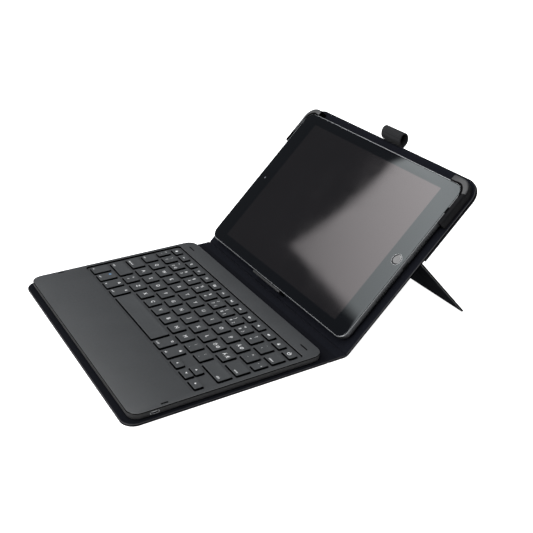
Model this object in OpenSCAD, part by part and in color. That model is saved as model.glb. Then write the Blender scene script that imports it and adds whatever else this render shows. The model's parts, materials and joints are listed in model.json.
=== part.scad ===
// Folding keyboard case for a tablet. A base panel carries a flat chiclet keyboard, a narrow
// spine panel folds up behind it, and a back panel holds the tablet in moulded edge clips.
// A flap on the rear of the back panel swings out as the stand. Millimetres.
// +X is the user's right, +Y points away from the user and +Z is up.
// The origin is the middle of the base panel's underside, the face that the case rests on.

/* [Tablet] */
// Long side of the tablet
tablet_w = 240; // [234:0.5:246]
// Short side of the tablet
tablet_h = 169.5; // [165:0.5:172]
// Thickness of the tablet
tablet_t = 7.5; // [7:0.1:8]
// Corner radius of the tablet
tablet_r = 10; // [8:0.5:12]
// Long side of the lit display
display_w = 197.1; // [190:0.1:200]
// Short side of the lit display
display_h = 147.8; // [140:0.1:149]

/* [Keyboard] */
// Width of the keyboard unit
unit_w = 247.4; // [244:0.2:249]
// Depth of the keyboard unit, front to back
unit_d = 175.3; // [174:0.1:176]
// Thickness of the keyboard unit
unit_t = 6.8; // [6.6:0.1:7]
// Corner radius of the keyboard unit
unit_r = 10; // [8:0.5:12]
// Width over the block of keys
keys_w = 231.7; // [228:0.1:233]
// Width of a standard key
key_w = 13; // [12.5:0.1:13.4]
// Depth of a standard key
key_d = 13; // [12.5:0.1:13.2]
// Gap between rows of keys
row_gap = 3.8; // [3.6:0.1:4]
// How far a key travels
key_travel = 1.2; // [0.8:0.1:1.3]

/* [Cover] */
// Width of the three cover panels
cover_w = 253; // [252:0.5:258]
// Thickness of a cover panel
panel_t = 2.4; // [2.2:0.1:2.6]
// Cover showing in front of the keyboard unit
front_ledge = 5.5; // [2:0.5:6]
// Cover between the keyboard unit and the first crease
rear_ledge = 2.7; // [2.6:0.1:4]
// Distance between the two creases of the spine
spine_l = 18.8; // [18.7:0.1:20]
// Length of the back panel from its crease to its top edge
back_l = 187.5; // [186:0.5:190]
// Corner radius at the front of the base panel
base_r = 12; // [8:1:16]
// Corner radius at the top of the back panel
back_r = 17; // [12:1:20]

/* [Stance] */
// Angle of the tablet above the table
tilt = 44.42; // [40:0.5:48]
// Angle of the stand below the horizontal
stand_drop = 47.4; // [44:0.2:50]
// Distance from the second crease to the stand's hinge, along the back panel
stand_hinge_y = 103.9; // [98:0.1:106]
// Width of the stand
stand_w = 236; // [200:1:240]

/* [Stylus loop] */
// Outer diameter of the stylus loop
loop_d = 11.5; // [11:0.1:12]
// Thickness of the loop's elastic
loop_t = 1.05; // [0.8:0.05:1.2]
// Length of the stylus loop
loop_l = 29; // [20:1:40]
// Middle of the loop, right of the centre line
loop_x = 2.5; // [-40:0.5:40]

/* [Hidden] */
$fn = 64;
eps = 0.01;

// Cover panels: an outer skin, a stiff board and an inner lining, with a gap each side of a
// crease so that neighbouring panels clear each other when folded to a right angle
skin_t = 0.5;
lining_t = 0.5;
board_t = panel_t - skin_t - lining_t;
crease_gap = 1.6;
crease_r = panel_t / 2;
mid_z = panel_t / 2;
base_l = front_ledge + unit_d + rear_ledge;
base_crease_y = base_l / 2;
back_crease_y = base_crease_y + spine_l;
unit_front_y = front_ledge - base_l / 2;

// Tablet and cradle, measured from the back panel's mid-plane towards the user
tablet_y = 7.5;
tablet_mid_y = tablet_y + tablet_h / 2;
tablet_front_z = 10.4;
tablet_back_z = tablet_front_z - tablet_t;
clip_gap = 0.3;
clip_t = 2.2;
corner_clip_t = 3.9;
corner_clip_lift = 1.3;
corner_clip_x = 101;
corner_clip_down = 130;
left_clip_trim = 4.5;
cradle_inset = 4;
cradle_t = 1.4;
camera_x = -109;
camera_y = 166;
camera_r = 4;
camera_hole_r = 8;

// Tablet parts
shell_t = 1.5;
shell_back_t = 1;
glass_inset = 1;
glass_t = 0.8;
rim_drop = 0.2;
button_x = 110.5;
button_r = 5.2;
button_gap = 0.3;
button_t = 1;
port_w = 7.6;
port_h = 2.2;
lens_t = 1.5;
display_t = 1.1;

// Stand: its board and two skins, hinged on a rolled strip
stand_t = 1.8;
stand_skin_t = 0.4;
stand_gap = 1.4;
stand_roll_r = 1.1;
stand_strip_t = 0.8;
stand_strip_l = 14;
stand_hinge_z = -(mid_z + stand_t / 2 + 0.3);
stand_corner_r = 2.5;
upper_layer_y = stand_hinge_y + 1.6;
hinge_height = mid_z + stand_hinge_y * sin(tilt) + stand_hinge_z * cos(tilt);
stand_l = (hinge_height - stand_t / 2 * cos(stand_drop)) / sin(stand_drop);

// Stylus loop: a tube of elastic on a tail fixed to the panel's top edge
loop_y = back_l + 6.5;
loop_z = 5.9;
loop_r = loop_d / 2;
loop_bore_r = loop_r - loop_t;

// Keyboard unit levels
case_z = panel_t;
deck_z = case_z + unit_t;
deck_edge_t = 1.4;
groove_h = 0.6;
groove_in = 0.7;
case_wall = 1.8;
case_floor = 1;
floor_z = case_z + case_floor;
deck_under_z = deck_z - deck_edge_t;
well_drop = 1.5;
web_t = 0.8;
web_z = deck_z - well_drop;
pan_z = web_z - web_t;
pan_wall = 1;
well_w = 239.8;
well_front = 54;
well_back = 157.4;
well_r = 4;

// Keys, laid out in rows from the user's side: widths, front edge and depth of each row
key_r = 1.2;
key_gap = 0.5;
key_z = deck_z - 2;
space_y = 57.5;
space_d = 17;
function_d = 7.8;
arrow_gap = 1.5;
arrow_d = (space_d - arrow_gap) / 2;
half_key_w = 8.3;
backspace_w = 13.9;
tab_w = 14.2;
narrow_key_w = 8;
caps_w = 19.8;
enter_w = 19.5;
shift_w = 28.2;
space_w = 82.1;
low_y = space_y + space_d + row_gap;
row_pitch = key_d + row_gap;
ROWS = [
    [concat(plain(4), [space_w], plain(5)), space_y, space_d],
    [concat([shift_w], plain(10), [shift_w]), low_y, key_d],
    [concat([caps_w], plain(11), [enter_w]), low_y + row_pitch, key_d],
    [concat([tab_w], plain(12), [narrow_key_w]), low_y + 2 * row_pitch, key_d],
    [concat([half_key_w], plain(12), [backspace_w]), low_y + 3 * row_pitch, key_d],
    [plain(14), low_y + 4 * row_pitch, function_d]
];
SPACE_ROW = 0;
LOW_ROW = 1;
HOME_ROW = 2;
TOP_ROW = 3;
NUMBER_ROW = 4;
FUNCTION_ROW = 5;
UP_DOWN = 8;

// Parts inside the keyboard unit
plate_t = 0.4;
membrane_t = 0.4;
plate_z = floor_z + 1.2;
membrane_z = plate_z + plate_t;
dome_z = membrane_z + membrane_t;
dome_h = key_travel + 0.5;
plate_w = 236;
plate_front = 55.5;
plate_back = 156;
post_r = 2;
boss_r = 3.2;
boss_h = 1;
screw_r = 0.88;
screw_head_r = 1.9;
screw_head_h = 0.8;
peg_r = 2.2;
board_z = floor_z + 0.2;
main_board_t = 0.8;
port_mid = 20;
socket_w = 7.6;
socket_h = 2.5;
socket_l = 7.4;
screw_spots = concat([for (x = [-114, 0, 114], y = [7.5, 166]) [x, y]], [[10, 28]]);
rear_bumper = [10, 1.3];
front_bumper = [1.6, 6];
bumper_t = 1;

function plain(n) = [for (i = [1:n]) key_w];
function sum(v, n) = n == 0 ? 0 : v[n - 1] + sum(v, n - 1);
function gap_of(v) = (keys_w - sum(v, len(v))) / (len(v) - 1);
// A key's cell: left edge, front edge, width and depth, from the unit's front middle
function cell(row, i) = [
    -keys_w / 2 + sum(ROWS[row][0], i) + i * gap_of(ROWS[row][0]),
    ROWS[row][1],
    ROWS[row][0][i],
    ROWS[row][2]
];
function front_half(c) = [c[0], c[1], c[2], arrow_d];
function rear_half(c) = [c[0], c[1] + arrow_d + arrow_gap, c[2], arrow_d];
key_cells = concat(
    [for (i = [0:UP_DOWN - 2]) cell(SPACE_ROW, i)],
    [for (i = [UP_DOWN - 1:UP_DOWN + 1]) front_half(cell(SPACE_ROW, i))],
    [rear_half(cell(SPACE_ROW, UP_DOWN))],
    [for (r = [LOW_ROW:FUNCTION_ROW], i = [0:len(ROWS[r][0]) - 1]) cell(r, i)]
);

// ---- shared shapes ----

module rounded_outline(w, d, r) {
    union() {
        square([w - 2 * r, d], center = true);
        square([w, d - 2 * r], center = true);
        for (x = [-1, 1], y = [-1, 1]) {
            translate([x * (w / 2 - r), y * (d / 2 - r)]) circle(r);
        }
    }
}

module rounded_slab(w, d, t, r) {
    linear_extrude(t) rounded_outline(w, d, r);
}

// A panel that runs along +Y from a crease, with its two far corners rounded
module panel(w, start, end, t, r) {
    linear_extrude(t) {
        union() {
            translate([-w / 2, start]) square([w, end - start - r]);
            translate([r - w / 2, start]) square([w - 2 * r, end - start]);
            for (x = [-1, 1]) {
                translate([x * (w / 2 - r), end - r]) circle(r);
            }
        }
    }
}

// The base panel runs forward from the first crease
module on_base() {
    translate([0, base_crease_y, 0]) mirror([0, 1, 0]) children();
}

// Keyboard parts are placed from the middle of the unit's front edge
module on_unit(z) {
    translate([0, unit_front_y, z]) children();
}

module on_unit_middle(z) {
    on_unit(z) translate([0, unit_d / 2, 0]) children();
}

// The back panel's own frame: +Y up the panel from its crease, +Z towards the user
module on_back(z = 0) {
    translate([0, back_crease_y, mid_z]) rotate([tilt, 0, 0]) translate([0, 0, z]) children();
}

module on_tablet(z) {
    on_back(z) translate([0, tablet_mid_y, 0]) children();
}

// The stand's own frame: +Y from its hinge to its foot, +Z its outer face
module on_stand(z) {
    on_back(stand_hinge_z) translate([0, stand_hinge_y, 0]) {
        rotate([-(stand_drop + tilt), 0, 0]) translate([0, 0, z]) children();
    }
}

module camera_hole(r) {
    translate([camera_x, camera_y, -5]) cylinder(h = 20, r = r);
}

// ---- cover ----

module base_outer_skin() {
    color("#2b2c30") on_base() panel(cover_w, crease_gap, base_l, skin_t, base_r);
}

module base_board() {
    color("#8a8378") on_base() translate([0, 0, skin_t]) {
        panel(cover_w - 2, crease_gap, base_l - 1, board_t, base_r - 1);
    }
}

module base_lining() {
    color("#34353a") on_base() translate([0, 0, skin_t + board_t]) {
        panel(cover_w, crease_gap, base_l, lining_t, base_r);
    }
}

module spine_layer(z, t, trim) {
    translate([trim - cover_w / 2, base_crease_y + crease_gap, z]) {
        cube([cover_w - 2 * trim, spine_l - 2 * crease_gap, t]);
    }
}

module spine_outer_skin() {
    color("#2b2c30") spine_layer(0, skin_t, 0);
}

module spine_board() {
    color("#8a8378") spine_layer(skin_t, board_t, 1);
}

module spine_lining() {
    color("#34353a") spine_layer(skin_t + board_t, lining_t, 0);
}

// The flexible roll of skin and lining along a crease
module hinge_strip(y) {
    color("#303136") translate([-cover_w / 2, y, mid_z]) {
        rotate([0, 90, 0]) cylinder(h = cover_w, r = crease_r);
    }
}

module base_hinge_strip() {
    hinge_strip(base_crease_y);
}

module back_hinge_strip() {
    hinge_strip(back_crease_y);
}

module back_layer(z, t, trim) {
    on_back(z) difference() {
        panel(cover_w - 2 * trim, crease_gap, back_l - trim, t, back_r - trim);
        camera_hole(camera_hole_r);
    }
}

module back_outer_skin() {
    color("#2b2c30") back_layer(-mid_z, skin_t, 0);
}

module back_board() {
    color("#8a8378") back_layer(skin_t - mid_z, board_t, 1);
}

module back_lining() {
    color("#34353a") back_layer(mid_z - lining_t, lining_t, 0);
}

// The outer layer above the stand, as thick as the stand, laid over the top of its hinge strip
module back_upper_layer() {
    color("#2b2c30") on_back() difference() {
        translate([0, 0, -mid_z - stand_t]) panel(cover_w, upper_layer_y, back_l, stand_t, back_r);
        camera_hole(camera_hole_r);
        translate([-stand_w / 2, stand_hinge_y, -mid_z - stand_strip_t]) {
            cube([stand_w, stand_strip_l, stand_strip_t + eps]);
        }
    }
}

// ---- stand ----

// Glued to the back panel above the stand, and rolled at its lower edge
module stand_hinge_strip() {
    color("#303136") on_back() difference() {
        union() {
            translate([-stand_w / 2, stand_hinge_y, -mid_z - stand_strip_t]) {
                cube([stand_w, stand_strip_l, stand_strip_t]);
            }
            translate([-stand_w / 2, stand_hinge_y, stand_hinge_z]) {
                rotate([0, 90, 0]) cylinder(h = stand_w, r = stand_roll_r);
            }
        }
        translate([-stand_w / 2 - 1, stand_hinge_y - 5, -mid_z]) cube([stand_w + 2, 30, 5]);
    }
}

module stand_layer(z, t, trim) {
    on_stand(z) panel(stand_w - 2 * trim, stand_gap, stand_l, t, stand_corner_r - trim);
}

module stand_board() {
    color("#8a8378") stand_layer(stand_skin_t - stand_t / 2, stand_t - 2 * stand_skin_t, 0.8);
}

module stand_front_skin() {
    color("#34353a") stand_layer(-stand_t / 2, stand_skin_t, 0);
}

module stand_back_skin() {
    color("#2b2c30") stand_layer(stand_t / 2 - stand_skin_t, stand_skin_t, 0);
}

// ---- cradle and stylus loop ----

module cradle_outline() {
    rounded_outline(tablet_w - 2 * cradle_inset, tablet_h - 2 * cradle_inset, 6);
}

module cradle_plate() {
    color("#3b3c41") difference() {
        on_tablet(mid_z) linear_extrude(cradle_t) cradle_outline();
        on_back() camera_hole(camera_hole_r);
    }
}

// A wall of that thickness and its foot, round the tablet's edge. The wall stands out further by
// the lift along the top edge. A clip is a stretch of it
module cradle_rim(t, lift) {
    reach = clip_gap + t;
    difference() {
        translate([0, lift / 2, 0]) {
            rounded_slab(
                tablet_w + 2 * reach, tablet_h + 2 * reach + lift,
                tablet_front_z - mid_z, tablet_r + reach
            );
        }
        translate([0, 0, cradle_t]) {
            rounded_slab(
                tablet_w + 2 * clip_gap, tablet_h + 2 * clip_gap,
                tablet_front_z, tablet_r + clip_gap
            );
        }
        translate([0, 0, -1]) linear_extrude(cradle_t + 2) cradle_outline();
    }
}

// A corner stretch of the rim, on the left or the right, from along the top edge down the side
module corner_clip(side, along) {
    far = tablet_w / 2 + 10;
    top = tablet_h / 2 + 10;
    color("#4a4b50") difference() {
        on_tablet(mid_z) intersection() {
            cradle_rim(corner_clip_t, corner_clip_lift);
            translate([side > 0 ? along : -far, corner_clip_down - tablet_h / 2, -1]) {
                cube([far - along, top + tablet_h / 2 - corner_clip_down, 20]);
            }
        }
        on_back() camera_hole(camera_hole_r);
    }
}

module left_corner_clip() {
    corner_clip(-1, corner_clip_x + left_clip_trim);
}

module right_corner_clip() {
    corner_clip(1, corner_clip_x);
}

module bottom_clip() {
    color("#4a4b50") on_tablet(mid_z) intersection() {
        cradle_rim(clip_t, 0);
        translate([-29, -tablet_h / 2 - 10, -1]) cube([49, 14, 20]);
    }
}

// Drop-shaped in section: the band leaves the panel's edge, goes round, and comes back to it
module stylus_loop() {
    reach = norm([loop_y - back_l, loop_r - loop_t]);
    rise = atan2(loop_r - loop_t, loop_y - back_l) + asin(loop_r / reach);
    run = sqrt(reach * reach - loop_r * loop_r);
    tail_z = loop_z - loop_r;
    color("#1d1e21") on_back() translate([loop_x - loop_l / 2, 0, 0]) difference() {
        union() {
            translate([0, loop_y, loop_z]) rotate([0, 90, 0]) cylinder(h = loop_l, r = loop_r);
            rotate([90, 0, 90]) linear_extrude(loop_l) {
                polygon([
                    [back_l, tail_z], [loop_y, tail_z], [loop_y, loop_z],
                    [back_l + run * cos(rise), tail_z + loop_t + run * sin(rise)],
                    [back_l, tail_z + loop_t]
                ]);
            }
        }
        translate([-1, loop_y, loop_z]) rotate([0, 90, 0]) {
            cylinder(h = loop_l + 2, r = loop_bore_r);
        }
    }
}

// ---- keyboard unit ----

module keyboard_bottom_case() {
    inner_w = unit_w - 2 * case_wall;
    inner_d = unit_d - 2 * case_wall;
    wall_h = deck_under_z - groove_h - case_z;
    color("#5c5e60") difference() {
        union() {
            difference() {
                union() {
                    on_unit_middle(case_z) rounded_slab(unit_w, unit_d, wall_h, unit_r);
                    on_unit_middle(case_z) {
                        rounded_slab(
                            unit_w - 2 * groove_in, unit_d - 2 * groove_in,
                            deck_under_z - case_z, unit_r - groove_in
                        );
                    }
                }
                on_unit_middle(floor_z) rounded_slab(inner_w, inner_d, 20, unit_r - case_wall);
            }
            for (s = screw_spots) {
                on_unit(floor_z) translate(s) cylinder(h = boss_h, r = boss_r);
            }
            for (x = [-100, -50, 0, 50, 100], y = [62, 105, 150]) {
                on_unit(floor_z) translate([x, y, 0]) cylinder(h = plate_z - floor_z, r = post_r);
            }
        }
        for (s = screw_spots) {
            on_unit(case_z - 1) translate(s) cylinder(h = 2, r = screw_head_r + 0.2);
            on_unit(case_z) translate(s) cylinder(h = 5, r = screw_r + 0.2);
        }
        on_unit(board_z + main_board_t - 0.1) {
            translate([unit_w / 2 - 5, port_mid - socket_w / 2 - 0.1, 0]) {
                cube([10, socket_w + 0.2, socket_h + 0.2]);
            }
        }
    }
}

module bumper_row(size, x, y, t) {
    for (side = [-1, 1]) {
        on_unit(deck_z - bumper_t) translate([side * x, y, t / 2]) {
            cube([size[0], size[1], t], center = true);
        }
    }
}

module front_bumper_pair(t) {
    bumper_row(front_bumper, 120.6, 29.5, t);
}

module rear_bumper_pair(t) {
    bumper_row(rear_bumper, 107, 165.5, t);
}

module keyboard_deck() {
    well_d = well_back - well_front;
    well_mid = (well_back + well_front) / 2;
    color("#6d7073") difference() {
        union() {
            on_unit_middle(deck_under_z) rounded_slab(unit_w, unit_d, deck_edge_t, unit_r);
            on_unit(pan_z) translate([0, well_mid, 0]) {
                rounded_slab(
                    well_w + 2 * pan_wall, well_d + 2 * pan_wall,
                    deck_z - pan_z, well_r + pan_wall
                );
            }
            for (s = screw_spots) {
                on_unit(floor_z + boss_h) translate(s) {
                    cylinder(h = deck_under_z - floor_z - boss_h + eps, r = peg_r);
                }
            }
        }
        on_unit(web_z) translate([0, well_mid, 0]) rounded_slab(well_w, well_d, 5, well_r);
        for (c = key_cells) {
            on_unit(pan_z - 1) translate([c[0] - key_gap, c[1] - key_gap, 0]) {
                cube([c[2] + 2 * key_gap, c[3] + 2 * key_gap, 5]);
            }
        }
        for (s = screw_spots) {
            on_unit(floor_z) translate(s) cylinder(h = deck_under_z - floor_z - 0.4, r = screw_r);
        }
        front_bumper_pair(5);
        rear_bumper_pair(5);
    }
}

module key_support_plate() {
    color("#b9bcc0") on_unit(plate_z) translate([0, (plate_front + plate_back) / 2, 0]) {
        rounded_slab(plate_w, plate_back - plate_front, plate_t, 2);
    }
}

module key_membrane() {
    color("#d8d6c8") on_unit(membrane_z) translate([0, (plate_front + plate_back) / 2, 0]) {
        rounded_slab(plate_w, plate_back - plate_front, membrane_t, 2);
    }
}

module key_domes() {
    color("#e4e4e0") for (c = key_cells) {
        on_unit(dome_z) translate([c[0] + c[2] / 2, c[1] + c[3] / 2, 0]) {
            cylinder(h = dome_h, r1 = 3, r2 = 2);
        }
    }
}

module main_board() {
    color("#2f6b46") on_unit(board_z) translate([22, 12, 0]) cube([95.5, 34, main_board_t]);
}

module bluetooth_module() {
    color("#c4c8cc") on_unit(board_z + main_board_t) translate([30, 30, 0]) cube([14, 10, 1.8]);
}

module battery() {
    color("#9aa0a6") on_unit(floor_z) translate([-54, 27.5, 0]) rounded_slab(88, 35, 3.2, 2);
}

module ribbon_cable() {
    low = board_z + main_board_t;
    high = membrane_z + 0.1;
    color("#c98f3f") on_unit(0) translate([62, 0, 0]) rotate([0, -90, 0]) linear_extrude(12) {
        polygon([
            [low, 42], [low, 47], [high, 52], [high, plate_front],
            [high + 0.2, plate_front], [high + 0.2, 51.9], [low + 0.2, 46.9], [low + 0.2, 42]
        ]);
    }
}

module usb_socket() {
    lip = 0.35;
    color("#b4b7bb") on_unit(board_z + main_board_t) {
        translate([unit_w / 2 - 0.4 - socket_l, port_mid - socket_w / 2, 0]) {
            difference() {
                cube([socket_l, socket_w, socket_h]);
                translate([1.5, lip, lip]) {
                    cube([socket_l, socket_w - 2 * lip, socket_h - 2 * lip]);
                }
            }
            translate([1.4, 1.6, 1]) cube([socket_l - 2.2, socket_w - 3.2, 0.5]);
        }
    }
}

module front_bumpers() {
    color("#1a1a1c") front_bumper_pair(bumper_t);
}

module rear_bumpers() {
    color("#1a1a1c") rear_bumper_pair(bumper_t);
}

module case_screws() {
    color("#77797c") for (s = screw_spots) {
        on_unit(case_z + 0.1) translate(s) {
            cylinder(h = screw_head_h, r = screw_head_r);
            cylinder(h = deck_under_z - case_z - 1, r = screw_r);
        }
    }
}

module closure_magnets() {
    color("#a7a9ac") for (x = [-70, -40, 40, 70]) {
        on_unit(floor_z) translate([x, 5.6, 0]) cylinder(h = 2, r = 3);
    }
}

// ---- keys ----

module keycap(c) {
    color("#7b7e81") on_unit(key_z) translate([c[0] + c[2] / 2, c[1] + c[3] / 2, 0]) {
        rounded_slab(c[2], c[3], deck_z - key_z, key_r);
    }
}

module key_run(row, first, last) {
    for (i = [first:last]) {
        keycap(cell(row, i));
    }
}

module function_keys() {
    key_run(FUNCTION_ROW, 0, 13);
}

module number_keys() {
    key_run(NUMBER_ROW, 0, 12);
}

module backspace_key() {
    key_run(NUMBER_ROW, 13, 13);
}

module tab_key() {
    key_run(TOP_ROW, 0, 0);
}

module top_letter_keys() {
    key_run(TOP_ROW, 1, 13);
}

module caps_lock_key() {
    key_run(HOME_ROW, 0, 0);
}

module home_letter_keys() {
    key_run(HOME_ROW, 1, 11);
}

module enter_key() {
    key_run(HOME_ROW, 12, 12);
}

module left_shift_key() {
    key_run(LOW_ROW, 0, 0);
}

module bottom_letter_keys() {
    key_run(LOW_ROW, 1, 10);
}

module right_shift_key() {
    key_run(LOW_ROW, 11, 11);
}

module left_modifier_keys() {
    key_run(SPACE_ROW, 0, 3);
}

module space_bar() {
    key_run(SPACE_ROW, 4, 4);
}

module right_modifier_keys() {
    key_run(SPACE_ROW, 5, 6);
}

module arrow_left_key() {
    keycap(front_half(cell(SPACE_ROW, UP_DOWN - 1)));
}

module arrow_down_key() {
    keycap(front_half(cell(SPACE_ROW, UP_DOWN)));
}

module arrow_up_key() {
    keycap(rear_half(cell(SPACE_ROW, UP_DOWN)));
}

module arrow_right_key() {
    keycap(front_half(cell(SPACE_ROW, UP_DOWN + 1)));
}

// ---- tablet ----

module tablet_housing() {
    inner_w = tablet_w - 2 * shell_t;
    inner_h = tablet_h - 2 * shell_t;
    recess_w = tablet_w - 2 * glass_inset;
    recess_h = tablet_h - 2 * glass_inset;
    color("#8f9296") difference() {
        on_tablet(tablet_back_z) rounded_slab(tablet_w, tablet_h, tablet_t - rim_drop, tablet_r);
        on_tablet(tablet_back_z + shell_back_t) {
            rounded_slab(inner_w, inner_h, 20, tablet_r - shell_t);
        }
        on_tablet(tablet_front_z - glass_t) {
            rounded_slab(recess_w, recess_h, 5, tablet_r - glass_inset);
        }
        on_tablet(tablet_back_z + tablet_t / 2) {
            translate([tablet_w / 2, 0, 0]) cube([10, port_w, port_h], center = true);
        }
        on_back() camera_hole(camera_r);
    }
}

module tablet_glass() {
    color("#101114") difference() {
        on_tablet(tablet_front_z - glass_t) {
            rounded_slab(
                tablet_w - 2 * glass_inset, tablet_h - 2 * glass_inset,
                glass_t, tablet_r - glass_inset
            );
        }
        on_tablet(0) translate([button_x, 0, 0]) cylinder(h = 20, r = button_r + button_gap);
    }
}

module tablet_display() {
    color("#1c1e22") on_tablet(tablet_front_z - glass_t - 0.1 - display_t) {
        translate([-display_w / 2, -display_h / 2, 0]) cube([display_w, display_h, display_t]);
    }
}

module tablet_battery() {
    color("#9aa0a6") on_tablet(tablet_back_z + shell_back_t) {
        rounded_slab(150, 110, 3.4, 2);
    }
}

module tablet_home_button() {
    color("#17181b") on_tablet(tablet_front_z - 0.1 - button_t) {
        translate([button_x, 0, 0]) cylinder(h = button_t, r = button_r);
    }
}

module tablet_rear_camera() {
    color("#0c0d10") on_back(tablet_back_z - 0.5) {
        translate([camera_x, camera_y, 0]) cylinder(h = lens_t, r = camera_r);
    }
}

base_outer_skin();
base_board();
base_lining();
spine_outer_skin();
spine_board();
spine_lining();
base_hinge_strip();
back_hinge_strip();
back_outer_skin();
back_board();
back_lining();
back_upper_layer();
stand_hinge_strip();
stand_board();
stand_front_skin();
stand_back_skin();
cradle_plate();
left_corner_clip();
right_corner_clip();
bottom_clip();
stylus_loop();
keyboard_bottom_case();
keyboard_deck();
key_support_plate();
key_membrane();
key_domes();
main_board();
bluetooth_module();
battery();
ribbon_cable();
usb_socket();
front_bumpers();
rear_bumpers();
case_screws();
closure_magnets();
function_keys();
number_keys();
backspace_key();
tab_key();
top_letter_keys();
caps_lock_key();
home_letter_keys();
enter_key();
left_shift_key();
bottom_letter_keys();
right_shift_key();
left_modifier_keys();
space_bar();
right_modifier_keys();
arrow_left_key();
arrow_down_key();
arrow_up_key();
arrow_right_key();
tablet_housing();
tablet_glass();
tablet_display();
tablet_battery();
tablet_home_button();
tablet_rear_camera();
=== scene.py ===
"""Looks of the tablet keyboard case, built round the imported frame.
Lengths are millimetres until a mesh is made. A shape is points, faces and, for cloth, flat coordinates."""
import json
import math

import bmesh
import bpy
from mathutils import Matrix, Vector


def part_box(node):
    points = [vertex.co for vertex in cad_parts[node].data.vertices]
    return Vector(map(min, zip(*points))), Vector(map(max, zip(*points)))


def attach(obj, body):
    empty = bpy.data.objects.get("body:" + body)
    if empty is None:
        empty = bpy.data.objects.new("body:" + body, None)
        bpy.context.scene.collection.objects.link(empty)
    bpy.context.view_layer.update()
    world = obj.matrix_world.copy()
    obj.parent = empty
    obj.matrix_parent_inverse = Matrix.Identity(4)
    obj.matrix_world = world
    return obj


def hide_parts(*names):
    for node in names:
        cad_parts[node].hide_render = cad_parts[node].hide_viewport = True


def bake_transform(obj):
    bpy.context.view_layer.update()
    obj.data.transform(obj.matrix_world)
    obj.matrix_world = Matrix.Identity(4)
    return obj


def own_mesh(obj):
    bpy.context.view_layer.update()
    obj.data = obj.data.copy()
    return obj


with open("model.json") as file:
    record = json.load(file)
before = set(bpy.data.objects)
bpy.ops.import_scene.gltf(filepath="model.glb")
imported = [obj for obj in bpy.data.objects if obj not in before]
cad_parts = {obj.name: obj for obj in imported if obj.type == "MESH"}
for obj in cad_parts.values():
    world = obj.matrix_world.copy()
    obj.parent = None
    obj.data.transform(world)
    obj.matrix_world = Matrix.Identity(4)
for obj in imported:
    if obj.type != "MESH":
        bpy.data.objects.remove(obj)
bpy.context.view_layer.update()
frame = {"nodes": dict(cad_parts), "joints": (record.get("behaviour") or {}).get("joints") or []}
JOINTS = {j["name"]: j for j in frame["joints"]}
MM = 0.001
SCENE = bpy.context.scene


def placed(origin, angle):
    """A frame at a point, turned about X by an angle in radians."""
    return Matrix.Translation(origin) @ Matrix.Rotation(angle, 4, "X")


CREASE_1 = Vector(JOINTS["base_fold"]["pos_m"])
CREASE_2 = Vector(JOINTS["back_fold"]["pos_m"])
STAND_AXIS = Vector(JOINTS["stand_fold"]["pos_m"])
TILT = math.radians(-JOINTS["back_fold"]["range_deg"][0])
STAND_DROP = math.pi - TILT + math.radians(JOINTS["stand_fold"]["range_deg"][0])
FLAT = Matrix.Identity(4)
BACK = placed(CREASE_2, TILT)
STAND = placed(STAND_AXIS, -STAND_DROP)
BASE_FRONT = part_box("base_outer_skin")[0].y / MM
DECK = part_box("keyboard_deck")
DECK_Z = DECK[1].z / MM


def added(name, data):
    """A new object in the scene."""
    obj = bpy.data.objects.new(name, data)
    SCENE.collection.objects.link(obj)
    return obj


# ---- camera ----

lens = bpy.data.cameras.new("camera")
lens.lens = 56.71
lens.sensor_width = 36
camera = added("camera", lens)
SCENE.camera = camera
camera.matrix_world = Matrix((
    (0.512919, -0.407803, 0.755388, 0.60286),
    (0.858110, 0.219279, -0.464289, -0.26506),
    (0.023698, 0.886349, 0.462412, 0.40012),
    (0, 0, 0, 1),
))
EYE = camera.matrix_world.translation

# ---- materials ----


def feed(node, **sockets):
    """Gives a node's sockets their values, or links them to other nodes' outputs."""
    for name, value in sockets.items():
        socket = node.inputs[name.replace("_", " ")]
        if isinstance(value, bpy.types.NodeSocket):
            node.id_data.links.new(value, socket)
        else:
            socket.default_value = value
    return node


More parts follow.
